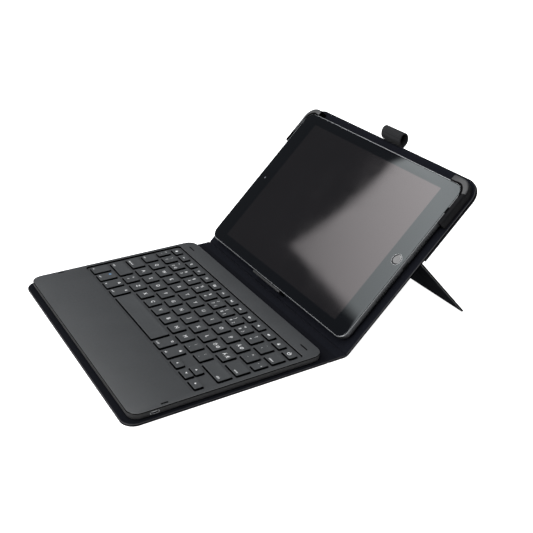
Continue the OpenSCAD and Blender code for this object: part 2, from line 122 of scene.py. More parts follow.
class Finish:
    """A procedural material: flat socket values first, then grain, mottling and bumps from nodes."""

    def __init__(self, name, colour, roughness, uv=False, **sockets):
        self.material = bpy.data.materials.new(name)
        self.material.use_nodes = True
        self.nodes = self.material.node_tree.nodes
        self.shader = self.nodes["Principled BSDF"]
        self.colour = (*colour, 1)
        self.roughness = roughness
        feed(self.shader, Base_Color=self.colour, Roughness=roughness, **sockets)
        self.where = self.nodes.new("ShaderNodeTexCoord").outputs["UV" if uv else "Object"]
        self.normal = None

    def node(self, kind, **sockets):
        return feed(self.nodes.new("ShaderNode" + kind), **sockets)

    def mapped(self, stretch=(1, 1, 1)):
        return self.node("Mapping", Scale=stretch, Vector=self.where).outputs["Vector"]

    def noise(self, scale, detail=3, stretch=(1, 1, 1)):
        node = self.node("TexNoise", Scale=scale, Detail=detail, Vector=self.mapped(stretch))
        return node.outputs["Fac"]

    def waves(self, scale, axis, distortion):
        node = self.node("TexWave", Scale=scale, Distortion=distortion, Vector=self.mapped())
        node.bands_direction = axis
        return node.outputs["Fac"]

    def cells(self, scale):
        return self.node("TexVoronoi", Scale=scale, Vector=self.mapped()).outputs["Distance"]

    def product(self, first, second):
        node = self.node("Math")
        node.operation = "MULTIPLY"
        for source, socket in zip((first, second), node.inputs):
            node.id_data.links.new(source, socket)
        return node.outputs[0]

    def ramp(self, factor, low, high, start=0.3, stop=0.7):
        node = self.node("MapRange", Value=factor, From_Min=start, From_Max=stop, To_Min=low, To_Max=high)
        return node.outputs["Result"]

    def tint(self, factor, other, start=0.3, stop=0.7):
        """Mixes the base colour towards another one."""
        mix = self.node("Mix")
        mix.data_type = "RGBA"
        feed(mix, A=self.colour, B=(*other, 1), Factor=self.ramp(factor, 0, 1, start, stop))
        feed(self.shader, Base_Color=mix.outputs["Result"])

    def rough(self, factor, spread):
        feed(self.shader, Roughness=self.ramp(factor, self.roughness - spread, self.roughness + spread))

    def bump(self, height, depth):
        """Adds a bump of that depth in millimetres, over the bumps before it."""
        node = self.node("Bump", Distance=depth * MM, Strength=1.0, Height=height)
        if self.normal is not None:
            feed(node, Normal=self.normal)
        self.normal = node.outputs["Normal"]
        feed(self.shader, Normal=self.normal)


def plastic(name, colour, roughness, level=0.5, grain=3200, depth=0.012):
    """Moulded plastic: a fine spark-eroded grain, and a faint mottling of colour and gloss."""
    finish = Finish(name, colour, roughness, Specular_IOR_Level=level)
    finish.tint(finish.noise(35, 4), [c * 0.9 for c in colour])
    finish.rough(finish.noise(420, 3), 0.04)
    finish.bump(finish.noise(grain, 2), depth)
    return finish.material


def coated_fabric(name, colour, roughness, gloss_level=0.12, sheen=0.03):
    """Matt coated fabric: pebbled grain over a faint cloth backing."""
    finish = Finish(name, colour, roughness, True, Sheen_Weight=sheen, Sheen_Roughness=0.5,
                    Specular_IOR_Level=gloss_level)
    finish.tint(finish.noise(60, 4), [c * 1.5 for c in colour])
    finish.rough(finish.noise(240, 3), 0.07)
    finish.bump(finish.cells(1300), 0.03)
    finish.bump(finish.noise(2600, 2), 0.01)
    return finish.material


def woven_lining(name, colour):
    """Close-woven microfibre: crossing threads, with slubs and a soft nap."""
    finish = Finish(name, colour, 0.9, True, Sheen_Weight=0.02, Sheen_Roughness=0.4, Specular_IOR_Level=0.03)
    weave = finish.product(finish.waves(260, "X", 1.2), finish.waves(260, "Y", 1.2))
    slubs = finish.noise(900, 3, (1, 0.25, 1))
    finish.tint(finish.product(weave, slubs), [c * 2.1 for c in colour], 0.05, 0.6)
    finish.bump(weave, 0.05)
    finish.bump(finish.noise(90, 3), 0.06)
    return finish.material


def elastic(name, colour):
    """Knitted elastic: fine ribs along the band, crossed by small stitches."""
    finish = Finish(name, colour, 0.85, Sheen_Weight=0.06, Sheen_Roughness=0.4, Specular_IOR_Level=0.12)
    knit = finish.product(finish.waves(420, "X", 0.4), finish.waves(700, "Y", 0.6))
    finish.tint(knit, [c * 1.9 for c in colour], 0.1, 0.9)
    finish.bump(knit, 0.06)
    return finish.material


def metal(name, colour, roughness):
    finish = Finish(name, colour, roughness, Metallic=1.0)
    finish.rough(finish.noise(900, 2, (1, 0.1, 0.1)), 0.06)
    finish.bump(finish.noise(3000, 1, (1, 0.05, 0.05)), 0.003)
    return finish.material


def gloss(name, colour, roughness, **sockets):
    """Polished glass or lacquer, with the faintest unevenness and smears."""
    finish = Finish(name, colour, roughness, **sockets)
    finish.tint(finish.noise(14, 2), [c * 1.25 for c in colour])
    finish.rough(finish.noise(30, 3), roughness * 0.4)
    finish.bump(finish.noise(20, 1), 0.002)
    return finish.material


M = {
    "skin": coated_fabric("outer_skin", (0.0062, 0.0064, 0.0080), 0.62),
    "stand": coated_fabric("stand_skin", (0.0220, 0.0223, 0.0245), 0.8, 0, 0),
    # painted light and shade on the turned edges: the next finish is black painted shade for an edge's side
    # and underside, the two after it a bright and a softer painted highlight for its upper roll
    "under": coated_fabric("edge_under", (0.0016, 0.0016, 0.0020), 0.8, 0, 0),
    "edge": coated_fabric("edge_line", (0.035, 0.035, 0.038), 0.5, 0.2),
    "edge_soft": coated_fabric("edge_roll", (0.016, 0.016, 0.018), 0.5, 0.2),
    "lining": woven_lining("lining", (0.0056, 0.0060, 0.0082)),
    # the rear panel's lining: the same woven lining made lighter, painted light for its margins
    "panel_lining": woven_lining("panel_lining", (0.0068, 0.0074, 0.0104)),
    "board": plastic("grey_board", (0.23, 0.2, 0.17), 0.9, 0.5, 900, 0.05),
    "elastic": elastic("elastic", (0.016, 0.0163, 0.0175)),
    # the clip's top finish; the next is its darker wall finish, also used as painted shade on a top, then
    # black painted shade for the gaps round the tablet and the shaded faces
    "clip": plastic("clip_rubber", (0.046, 0.0465, 0.048), 0.5, 0.4, 1800, 0.008),
    "clip_wall": plastic("clip_wall", (0.0068, 0.0069, 0.0078), 0.6, 0.06, 1800, 0.008),
    "clip_dark": plastic("clip_shadow", (0.0012, 0.0012, 0.0014), 0.7, 0.03, 1800, 0.008),
    "case": plastic("case_plastic", (0.044, 0.0435, 0.0445), 0.55, 0.1),
    "deck": plastic("deck_plastic", (0.0520, 0.0545, 0.0575), 0.46, 0.35),
    # a lighter copy of the deck plastic: painted highlight for the deck's chamfers
    "deck_edge": plastic("deck_edge", (0.085, 0.087, 0.090), 0.4, 0.4),
    # black painted shade for recesses and gaps: the groove round the keyboard, the well's walls, the holes
    # round the keys
    "well": plastic("well_wall", (0.0012, 0.0012, 0.0014), 0.7, 0.02),
    "key": plastic("keycap_plastic", (0.0572, 0.0603, 0.0634), 0.44, 0.35),
    # near-black keycap sides: painted shade of the key sides and the gaps between the keys
    "skirt": plastic("keycap_skirt", (0.0010, 0.0011, 0.0014), 0.6, 0.02),
    "legend": plastic("legend_ink", (0.86, 0.87, 0.88), 0.5, 0.5, 4000, 0.004),
    "legend_blue": plastic("legend_blue_ink", (0.20, 0.42, 0.72), 0.5, 0.5, 4000, 0.004),
    "bumper": plastic("bumper_rubber", (0.003, 0.003, 0.0033), 0.75, 0.06),
    "shell": metal("tablet_shell", (0.045, 0.046, 0.048), 0.5),
    "rim": metal("tablet_rim", (0.23, 0.235, 0.243), 0.42),
    # a darker copy of the rim metal: painted shade for the rim's right side
    "rim_side": metal("tablet_rim_side", (0.120, 0.123, 0.127), 0.5),
    "bezel": gloss("tablet_bezel", (0.0022, 0.0024, 0.0034), 0.035, Specular_IOR_Level=0.34,
                   Specular_Tint=(0.88, 0.97, 1.0, 1)),
    "window": gloss("tablet_window", (0.0055, 0.0052, 0.0060), 0.06, Specular_Tint=(1.0, 0.915, 0.93, 1)),
    "button": gloss("home_button", (0.008, 0.008, 0.010), 0.09, Specular_IOR_Level=0.62),
    "ring": metal("button_ring", (0.22, 0.225, 0.23), 0.3),
    "lens": gloss("lens_glass", (0.004, 0.004, 0.008), 0.03, Coat_Weight=0.6),
    "dome": plastic("silicone_dome", (0.006, 0.006, 0.007), 0.6, 0.05, 900, 0.006),
    "camera_dot": gloss("front_camera", (0.16, 0.17, 0.19), 0.1),
    "plate": metal("support_plate", (0.05, 0.051, 0.053), 0.5),
    # a real membrane film, made near-black as painted shade seen through the gaps between the keys
    "membrane": plastic("membrane_film", (0.004, 0.004, 0.005), 0.6, 0.05, 600, 0.004),
    "pcb": plastic("circuit_board", (0.02, 0.11, 0.045), 0.4, 0.5, 700, 0.02),
    "can": metal("shield_can", (0.65, 0.66, 0.67), 0.3),
    "cell": plastic("battery_wrap", (0.35, 0.37, 0.4), 0.35, 0.5, 500, 0.01),
    "ribbon": plastic("ribbon_film", (0.48, 0.24, 0.06), 0.35, 0.5, 500, 0.01),
    "socket": metal("socket_steel", (0.2, 0.204, 0.21), 0.35),
    "screw": metal("screw_steel", (0.4, 0.41, 0.42), 0.35),
    "magnet": metal("magnet_plating", (0.7, 0.7, 0.71), 0.2),
    "cradle": plastic("cradle_plate", (0.03, 0.03, 0.032), 0.55),
}

# ---- meshes ----

CREASE = 32


def belongs(obj, body=None, replaces=()):
    """Says which body a piece rides on, which CAD nodes it stands for."""
    if body:
        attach(obj, body)
    if replaces:
        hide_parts(*replaces)
    return obj


def piece(name, shape, materials, body=None, at=FLAT, replaces=(), pick=None, paint=None,
          crease=CREASE):
    """One mesh piece. A face's material comes from pick(centre, normal) or paint(number)."""
    points, faces, *uvs = shape
    mesh = bpy.data.meshes.new(name)
    mesh.from_pydata([at @ (Vector(p) * MM) for p in points], [], faces)
    if uvs:
        layer = mesh.uv_layers.new(name="UVMap")
        for loop in mesh.loops:
            u, v = uvs[0][loop.vertex_index]
            layer.data[loop.index].uv = (u * MM, v * MM)
    for m in materials:
        mesh.materials.append(M[m])
    bm = bmesh.new()
    bm.from_mesh(mesh)
    bmesh.ops.recalc_face_normals(bm, faces=bm.faces)
    if paint:
        for number, f in enumerate(bm.faces):
            f.material_index = paint(number)
    if pick:
        back = at.inverted()
        for f in bm.faces:
            f.material_index = pick((back @ f.calc_center_median()) / MM, back.to_3x3() @ f.normal)
    bm.to_mesh(mesh)
    bm.free()
    mesh.shade_smooth()
    mesh.set_sharp_from_angle(angle=math.radians(crease))
    return belongs(added(name, mesh), body, replaces)


def cut(obj, *shapes, at=FLAT, materials=()):
    """Subtracts closed shapes from a piece."""
    cutters = [piece("cutter", shape, materials, at=at) for shape in shapes]
    for cutter in cutters:
        modifier = obj.modifiers.new("cut", "BOOLEAN")
        modifier.operation = "DIFFERENCE"
        modifier.solver = "EXACT"
        modifier.object = cutter
    graph = bpy.context.evaluated_depsgraph_get()
    mesh = bpy.data.meshes.new_from_object(obj.evaluated_get(graph))
    obj.modifiers.clear()
    old, obj.data = obj.data, mesh
    bpy.data.meshes.remove(old)
    for cutter in cutters:
        bpy.data.objects.remove(cutter)
    mesh.name = obj.name
    mesh.set_sharp_from_angle(angle=math.radians(CREASE))
    return obj


def outline(w, d, r, n=6):
    """A rounded rectangle's points, anticlockwise."""
    r = max(r, 0.02)
    corners = ((1, -1, -90), (1, 1, 0), (-1, 1, 90), (-1, -1, 180))
    turns = [(sx * (w / 2 - r), sy * (d / 2 - r), math.radians(a + 90 * i / n))
             for sx, sy, a in corners for i in range(n + 1)]
    return [(x + r * math.cos(a), y + r * math.sin(a)) for x, y, a in turns]


def loft(rings, closed=False):
    """Points and faces through rings of equal count, capped at both ends unless closed on itself."""
    n = len(rings[0])
    points = [p for ring in rings for p in ring]
    pairs = list(zip(range(len(rings) - 1), range(1, len(rings))))
    if closed:
        pairs.append((len(rings) - 1, 0))
    faces = [(a * n + i, a * n + (i + 1) % n, b * n + (i + 1) % n, b * n + i)
             for a, b in pairs for i in range(n)]
    if not closed:
        last = (len(rings) - 1) * n
        faces += [tuple(reversed(range(n))), tuple(range(last, last + n))]
    return points, faces


def slab(w, d, r, profile, centre=(0, 0), n=6):
    """A rounded rectangle lofted through (inset, height) steps."""
    return loft([[(x + centre[0], y + centre[1], z) for x, y in outline(w - 2 * i, d - 2 * i, r - i, n)]
                 for i, z in profile])


def merged(parts):
    points, faces = [], []
    for p, f in parts:
        start = len(points)
        points += p
        faces += [tuple(start + i for i in face) for face in f]
    return points, faces


def circle(x, y, r, n):
    return [(x + r * math.cos(2 * math.pi * i / n), y + r * math.sin(2 * math.pi * i / n)) for i in range(n)]


def turned(x, y, steps, n, closed=False):
    """A round shape about a spot, lofted through (radius, height) steps."""
    return loft([[(a, b, z) for a, b in circle(x, y, r, n)] for r, z in steps], closed)


def tube(radius, z0, z1, centre, n=32):
    return turned(*centre, ((radius, z0), (radius, z1)), n)


def block(low, high):
    (x0, y0, z0), (x1, y1, z1) = low, high
    return loft([[(x0, y0, z), (x1, y0, z), (x1, y1, z), (x0, y1, z)] for z in (z0, z1)])


def middle_of(low, high):
    return (low[0] + high[0]) / 2, (low[1] + high[1]) / 2


def box_mm(node):
    low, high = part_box(node)
    return [v / MM for v in low], [v / MM for v in high]


# ---- cover ----


def smooth(t):
    t = min(max(t, 0.0), 1.0)
    return t * t * (3 - 2 * t)


# the outer half of a rolled edge: (inset, share of the half thickness)
ROLL = [(0.8, -1), (0.4, -0.95), (0.12, -0.76), (0, -0.45), (0, 0.45)]


def turned_skin(half, board, margin, deep=3):
    """A skin that wraps its board's edge and turns in on the far face: (inset, height, inner) steps."""
    shares = [(deep, -1), *ROLL, (0.12, 0.76), (0.4, 0.95), (0.62, 0.985), (0.78, 0.92)]
    return [(i, half * share, 0) for i, share in shares] + [
        (0.84, board + 0.05, 0), (margin, board, 1), (margin, -board, 1), (deep, -board, 1)]


def set_in_lining(half, board, deep=3):
    """A lining laid on the board inside the turned edge."""
    return [(deep, half, 0), (1.35, half, 0), (1.06, half * 0.975, 0), (0.93, half * 0.88, 0),
            (0.88, half * 0.72, 0), (0.9, board + 0.01, 1), (deep, board + 0.01, 1)]


def sheet(profile, half_w, r, rows, place, columns=16, arc=10):
    """A thick sheet from a square cut end to a rounded end. rows are distances from the rounded end."""
    def chain(inset):
        side = [(half_w - inset, s) for s in rows]
        turn = [(half_w - r + (r - inset) * math.cos(a), r - (r - inset) * math.sin(a))
                for a in (math.pi / 2 * k / arc for k in range(1, arc + 1))]
        end = [((half_w - r) * (1 - 2 * k / columns), inset) for k in range(1, columns)]
        half = side + turn
        return half + end + [(-x, s) for x, s in reversed(half)]

    points, uvs, faces = [], [], []

    def add(x, s, h, inner):
        points.append(place(x, s, h, inner))
        uvs.append((x, s))
        return len(points) - 1

    loops = [chain(step[0]) for step in profile]
    grid = [[add(x, s, h, inner) for x, s in loop] for loop, (_, h, inner) in zip(loops, profile)]
    n, half_n = len(grid[0]), len(rows) + arc
    for a, b in zip(grid, grid[1:]):
        faces += [(a[i], a[i + 1], b[i + 1], b[i]) for i in range(n - 1)]
    ends = []
    for ring, loop, (_, h, inner) in ((grid[0], loops[0], profile[0]), (grid[-1], loops[-1], profile[-1])):
        lines = [[ring[i]] + [add(loop[i][0] * (1 - 2 * k / columns), loop[i][1], h, inner)
                              for k in range(1, columns)] + [ring[n - 1 - i]] for i in range(half_n - 1)]
        lines.append(ring[half_n - 1:half_n + columns])
        for a, b in zip(lines, lines[1:]):
            faces += [(a[k], a[k + 1], b[k + 1], b[k]) for k in range(columns)]
        ends.append(lines[0])
    faces.append(tuple(ends[0] + [ring[-1] for ring in grid[1:-1]] + ends[1][::-1]
                       + [ring[0] for ring in grid[-2:0:-1]]))
    return points, faces, uvs


HALF_T = 1.2
BOARD_HALF = 0.7
COVER_HALF_W = 126.5
REAR_R, FRONT_R = 17, 12
CAMERA_AT, CAMERA_HOLE_R = (-109, 166), 8
SKIN_FINISHES = ["skin", "edge", "edge_soft", "under"]
FOLD = 1.6
HALF_SPINE = 9.4
BACK_L = 187.5
CREASE_STEPS = (6, 4, 2.5, 1.8, 1.45, 1.1, 0.75, 0.4, 0, -0.4, -0.75, -1.1, -1.45, -1.8, -2.5, -4, -6)


def pinch(h, u, inner):
    """The sheet thins to its two fabrics where it has no board, along a crease."""
    near = smooth((1.75 - abs(u)) / 1.4)
    return h * (1 - near * (0.97 if inner else 0.46))


def front_place(x, s, h, inner):
    u = s + BASE_FRONT - CREASE_1.y / MM
    return x, s + BASE_FRONT, CREASE_1.z / MM + pinch(h, u, inner)


def rear_place(x, s, h, inner):
    u = BACK_L - s
    h = pinch(h, u, inner)
    turn = TILT * smooth((u + FOLD) / (2 * FOLD))
    y = u * math.cos(turn) - h * math.sin(turn)
    z = u * math.sin(turn) + h * math.cos(turn)
    return x, CREASE_2.y / MM + y, CREASE_2.z / MM + z


FRONT_L = CREASE_1.y / MM - BASE_FRONT
front_rows = ([FRONT_L + HALF_SPINE] + [FRONT_L + v for v in CREASE_STEPS]
              + [165, 140, 115, 90, 65, 40, 22, FRONT_R])
rear_rows = ([BACK_L + HALF_SPINE] + [BACK_L + v for v in CREASE_STEPS]
             + [170, 145, 120, 95, 70, 45, 28, REAR_R])


def turned_edge(rows, bands, arc=10, columns=16):
    """Paints the bands of a turned skin along its edge, by band number: painted highlights where the edge
    catches the light, painted shade on its side and underside.
    """
    across = 2 * (len(rows) + arc) + columns - 2
    return lambda number: bands.get(number // across, 0)


CLOTH_CREASE = 40
CAMERA_HOLE = tube(CAMERA_HOLE_R, -6, 6, CAMERA_AT, 48)


def cover_piece(name, profile, material, rear, nodes):
    rows, place, r = (rear_rows, rear_place, REAR_R) if rear else (front_rows, front_place, FRONT_R)
    # the edge's underside and outer side get black painted shade, its upper roll a bright and then a softer
    # painted highlight
    paint = turned_edge(rows, {2: 3, 3: 3, 4: 3, 5: 1, 6: 2, 7: 2}) if material == "skin" else None
    obj = piece(name, sheet(profile, COVER_HALF_W, r, rows, place), [material, *SKIN_FINISHES[1:]],
                replaces=nodes, paint=paint, crease=CLOTH_CREASE)
    if rear:
        cut(obj, CAMERA_HOLE, at=BACK)
        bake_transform(obj)
    else:
        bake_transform(obj)
    return obj


SKIN = turned_skin(HALF_T, BOARD_HALF, 1.0)
LINING = set_in_lining(HALF_T, BOARD_HALF)
cover_piece("front_cover_skin", SKIN, "skin", False,
            ["base_outer_skin", "base_hinge_strip", "spine_outer_skin"])
cover_piece("rear_cover_skin", SKIN, "skin", True, ["back_outer_skin", "back_hinge_strip"])
cover_piece("front_cover_lining", LINING, "lining", False, ["base_lining", "spine_lining"])
# the rear lining uses the lighter copy of the lining, painted light
cover_piece("rear_cover_lining", LINING, "panel_lining", True, ["back_lining"])

# ---- outer layer above the stand ----

LAYER_Y, LAYER_Z, LAYER_HALF_T = 105.9, -2.1, 0.9
STAND_HALF_W = 118
STRIP_END = 118
layer_rows = [BACK_L - LAYER_Y, 70, 45, 28, REAR_R]
layer_edge = [(i, share * LAYER_HALF_T, 0) for i, share in [(3, -1), *ROLL, (0.1, 0.8), (0.3, 1), (3, 1)]]


def layer_place(x, s, h, inner):
    return x, BACK_L - s, LAYER_Z + h


# the layer's outer side band gets the softer painted highlight
layer = piece("upper_back_layer", sheet(layer_edge, COVER_HALF_W, REAR_R, layer_rows, layer_place),
              SKIN_FINISHES, at=BACK, replaces=["back_upper_layer"],
              paint=turned_edge(layer_rows, {4: 2}), crease=CLOTH_CREASE)
strip_pocket = block((-STAND_HALF_W, LAYER_Y - 6, -2), (STAND_HALF_W, STRIP_END, -1))
cut(layer, CAMERA_HOLE, strip_pocket, at=BACK)
belongs(layer, "back_panel")

# ---- stand ----

STAND_HALF_T = 0.9
STAND_BOARD_HALF = 0.5
STAND_GAP = 1.4
STAND_R = 2.5
stand_far = max((STAND.inverted() @ v.co).y for v in frame["nodes"]["stand_back_skin"].data.vertices) / MM
stand_rows = [stand_far - STAND_GAP, 90, 75, 60, 45, 30, 18, 9, STAND_R]


def stand_place(x, s, h, inner):
    return x, stand_far - s, -h


def stand_piece(name, profile, material, node):
    # along the stand's edge: black painted shade on the lower roll and side, painted highlights on the upper
    # roll
    paint = turned_edge(stand_rows, {3: 3, 4: 3, 5: 2, 6: 1, 7: 2}) if name == "stand_outer_skin" else None
    return piece(name, sheet(profile, STAND_HALF_W, STAND_R, stand_rows, stand_place),
                 [material, *SKIN_FINISHES[1:]], "stand", STAND, [node], paint=paint,
                 crease=CLOTH_CREASE)


stand_piece("stand_outer_skin", turned_skin(STAND_HALF_T, STAND_BOARD_HALF, 0.8, 2), "skin",
            "stand_back_skin")
stand_piece("stand_inner_skin", set_in_lining(STAND_HALF_T, STAND_BOARD_HALF, 2), "stand",
            "stand_front_skin")


def ribbon(path, half_t, x0, x1, columns=8):
    """A flat band along a path of (y, z) points, extruded along X with softened side edges."""
    sides = []
    for k, (y, z) in enumerate(path):
        y0, z0 = path[max(k - 1, 0)]
        y1, z1 = path[min(k + 1, len(path) - 1)]
        length = math.hypot(y1 - y0, z1 - z0)
        sides.append((y, z, -(z1 - z0) / length, (y1 - y0) / length))
    taper = [0.55 if k in (0, len(path) - 1) else 1 for k in range(len(path))]
    steps = [(x0, 0.3), (x0 + 0.12, 0.75), (x0 + 0.35, 1)]
    steps += [(x0 + (x1 - x0) * k / columns, 1) for k in range(1, columns)]
    steps += [(x1 - 0.35, 1), (x1 - 0.12, 0.75), (x1, 0.3)]
    rings = []
    for x, share in steps:
        t = half_t * share
        upper = [(x, y + ny * t * e, z + nz * t * e) for (y, z, ny, nz), e in zip(sides, taper)]
        lower = [(x, y - ny * t * e, z - nz * t * e) for (y, z, ny, nz), e in zip(sides, taper)]
        rings.append(upper + lower[::-1])
    return loft(rings)


HINGE_Y = 103.9
FABRIC_HALF_T = 0.3
SOFT_CREASE = 50
outer = HINGE_Y + STAND_HALF_T + 0.28
hinge_path = [(117.9, -1.6), (116, -1.6), (112, -1.6), (109, -1.6), (107.4, -1.6), (106.2, -1.62),
              (105.6, -1.78), (105.22, -2.15), (outer + 0.02, -2.9), (outer, -4), (outer - 0.02, -5.2),
              (outer - 0.05, -7), (outer - 0.1, -9.4)]
hinge = piece("stand_hinge_fabric", ribbon(hinge_path, FABRIC_HALF_T, 0.4 - STAND_HALF_W, STAND_HALF_W - 0.4),
              ["skin"], at=BACK, replaces=["stand_hinge_strip"], crease=SOFT_CREASE)
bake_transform(hinge)

# ---- stylus loop ----

LOOP_LONG, LOOP_SHORT = 6.4, 4.8
LOOP_Y, LOOP_Z = 193.3, 4.9
loop_low, loop_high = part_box("stylus_loop")
loop_path = [(187.3, -0.5), (188.6, -0.62)]
for k in range(37):
    turn = math.radians(158 - 316 * k / 36)
    up, out = LOOP_LONG * math.cos(turn) / math.sqrt(2), LOOP_SHORT * math.sin(turn) / math.sqrt(2)
    loop_path.append((LOOP_Y + up + out, LOOP_Z + up - out))
loop_path.append((187.4, 1.5))
LOOP_HALF_T = 0.52
piece("stylus_loop_band", ribbon(loop_path, LOOP_HALF_T, loop_low.x / MM, loop_high.x / MM, 6), ["elastic"],
      "back_panel", BACK, ["stylus_loop"], crease=SOFT_CREASE)

# ---- cradle clips ----

TABLET_W, TABLET_H, TABLET_R = 240, 169.5, 10
TABLET_Y = 7.5
# SHADE picks the black painted shade finish, WALL the darker wall finish
SHADE, WALL = 1, 2
ARC = TABLET_R * math.pi / 2
GAP = 0.3
REACH_TOP, REACH_CORNER, REACH_SIDE = 6.1, 6.4, 4.6
LIP = -0.75


def clip_section(reach, lip, shaded):
    """A clip's cross-section as (outward, height, finish up to the next point): foot, inner wall, lip over
    the tablet's rim, top, round shoulder, outer wall. SHADE on the foot, inner wall, lip and a band of the
    top by the tablet is black painted shade."""
    return [(-4, 1.2, SHADE), (-4, 2.6, SHADE), (GAP, 2.6, SHADE), (GAP, 10.22, SHADE), (lip, 10.27, SHADE),
            (lip, 10.42, SHADE), (lip + 0.15, 10.52, SHADE), (shaded, 10.54, 0), (shaded + 0.4, 10.5, 0),
            (reach - 1.5, 10.4, 0), (reach - 0.9, 10.24, 0), (reach - 0.45, 9.9, 0),
            (reach - 0.15, 9.4, WALL), (reach, 8.7, WALL), (reach, 2.1, WALL), (reach - 0.2, 1.5, WALL),
            (reach - 0.6, 1.2, WALL)]


def rim_point(side, along, o):
    """A point round the tablet's corner, at a distance from the corner arc's start on the top edge."""
    cx, cy = TABLET_W / 2 - TABLET_R, TABLET_Y + TABLET_H - TABLET_R
    if along < 0:
        x, y = cx + along, cy + TABLET_R + o
    elif along > ARC:
        x, y = cx + TABLET_R + o, cy - (along - ARC)
    else:
        a = math.pi / 2 - along / TABLET_R
        x, y = cx + (TABLET_R + o) * math.cos(a), cy + (TABLET_R + o) * math.sin(a)
    return side * x, y


def clip_piece(name, node, stations, where, wall_shade_from=None, black=None, ends=SHADE):
    """A clip swept through stations of (distance, reach, lip, shaded width, end share). Its top keeps the
    lighter finish up to the first given distance, takes the darker wall finish past it as painted shade, and
    black painted shade past the black one; its end faces take the ends finish, black painted shade unless
    another is given."""
    mid_o, mid_z = 0.8, 6
    rings, shades = [], []
    for along, reach, lip, shaded, end in stations:
        section = clip_section(reach, lip, shaded)
        rings.append([(*where(along, mid_o + (o - mid_o) * end), mid_z + (z - mid_z) * end)
                      for o, z, _ in section])
        shades = [shade for _, _, shade in section]

    def paint(number):
        ring, side = divmod(number, len(shades))
        if ring >= len(rings) - 1:
            return ends
        if shades[side] == 0 and black is not None and stations[ring][0] >= black:
            return SHADE
        if shades[side] == 0 and wall_shade_from is not None and stations[ring][0] >= wall_shade_from:
            return WALL
        return shades[side]

    return piece(name, loft(rings), ["clip", "clip_dark", "clip_wall"], "back_panel", BACK, [node],
                 paint=paint, crease=SOFT_CREASE)


def reach_at(along):
    """How far a corner clip stands out past the tablet, fullest at the middle of the corner."""
    turn = min(max(along / ARC, 0), 1)
    flat = REACH_TOP + (REACH_SIDE - REACH_TOP) * smooth(turn)
    return flat + (REACH_CORNER - (REACH_TOP + REACH_SIDE) / 2) * math.sin(math.pi * turn)


def corner_stations(start, end, dash=()):
    """Stations from a start on the top edge to an end on the side. The lip fades out past the corner, and
    comes back over a dash, where its black painted shade shows as a dark mark."""
    distances = [start, start + 0.3] + [ARC * k / 12 for k in range(13)]
    distances += [ARC * 1.15, end - 13, end - 0.3, end]
    for edge in dash:
        distances += [edge, edge + 0.05]
    stations = []
    for d in sorted(distances):
        over = 1 - smooth((d / ARC - 0.85) / 0.3)
        if dash and dash[0] + 0.02 < d < dash[1] + 0.02:
            over = 1
        shaded = GAP + 0.25 + 0.9 * over * smooth((d + 4) / 8)
        stations.append((d, reach_at(d), GAP + (LIP - GAP) * over, shaded, 0.96 if d in (start, end) else 1))
    return stations


TOP_END = TABLET_W / 2 - TABLET_R
SIDE_END = ARC + TABLET_H - TABLET_R - 130
# the left clip's top past SIDE_END - 13 is black painted shade
clip_piece("left_corner_grip", "left_corner_clip", corner_stations(105.5 - TOP_END, SIDE_END),
           lambda along, o: rim_point(-1, along, o), black=SIDE_END - 13)
# the right clip's top past 0.8 of the corner is painted shade in the wall finish; the dash is black painted
# shade
clip_piece("right_corner_grip", "right_corner_clip",
           corner_stations(101 - TOP_END, SIDE_END, (SIDE_END - 16.6, SIDE_END - 10.4)),
           lambda along, o: rim_point(1, along, o), wall_shade_from=ARC * 0.8)
bottom = [(x, 2.5, GAP, GAP + 0.2, 0.96 if x in (-29, 20) else 1) for x in (-29, -28.7, -5, 19.7, 20)]
clip_piece("bottom_grip", "bottom_clip", bottom, lambda along, o: (along, TABLET_Y - o), ends=WALL)

# ---- tablet ----

TABLET_MID = (0, TABLET_Y + TABLET_H / 2)
BUTTON = (110.5, TABLET_MID[1])
shell_profile = [(4, 2.9), (2.4, 3.05), (1.3, 3.55), (0.5, 4.5), (0.12, 5.6), (0, 6.8), (0, 9.7),
                 (0.08, 9.85), (0.38, 10.16), (0.5, 10.2), (0.9, 10.2), (0.96, 10.12), (0.96, 9.58),
                 (1.5, 9.5), (1.5, 5), (3, 3.9)]


def shell_material(centre, normal):
    dx = TABLET_W / 2 - abs(centre[0])
    dy = TABLET_H / 2 - abs(centre[1] - TABLET_MID[1])
    if centre[2] < 9.56 or normal[2] < 0.2 or min(dx, dy) > 3.5:
        return 0
    # along the right edge the rim takes the darker copy: painted shade of that side
    return 2 if dx < 1.5 and centre[0] > 0 else 1


shell = piece("tablet_shell", slab(TABLET_W, TABLET_H, TABLET_R, shell_profile, TABLET_MID, 12),
              ["shell", "rim", "rim_side"], at=BACK, pick=shell_material)
holes = []
for sign in (-1, 1):
    for row in (6.0, 7.4):
        for k in range(12):
            y = TABLET_MID[1] + sign * (12 + 2.5 * k)
            holes.append(loft([[(x, p, q) for p, q in circle(y, row, 0.5, 8)] for x in (119.4, 121)]))
holes.append(loft([[(x, TABLET_MID[1] + a, 6.65 + b) for a, b in outline(7.6, 2.2, 1.1)]
                   for x in (119, 121)]))
holes.append(tube(4.0, 1, 5, CAMERA_AT))
cut(shell, merged(holes), at=BACK)
belongs(shell, "tablet", ["tablet_housing"])

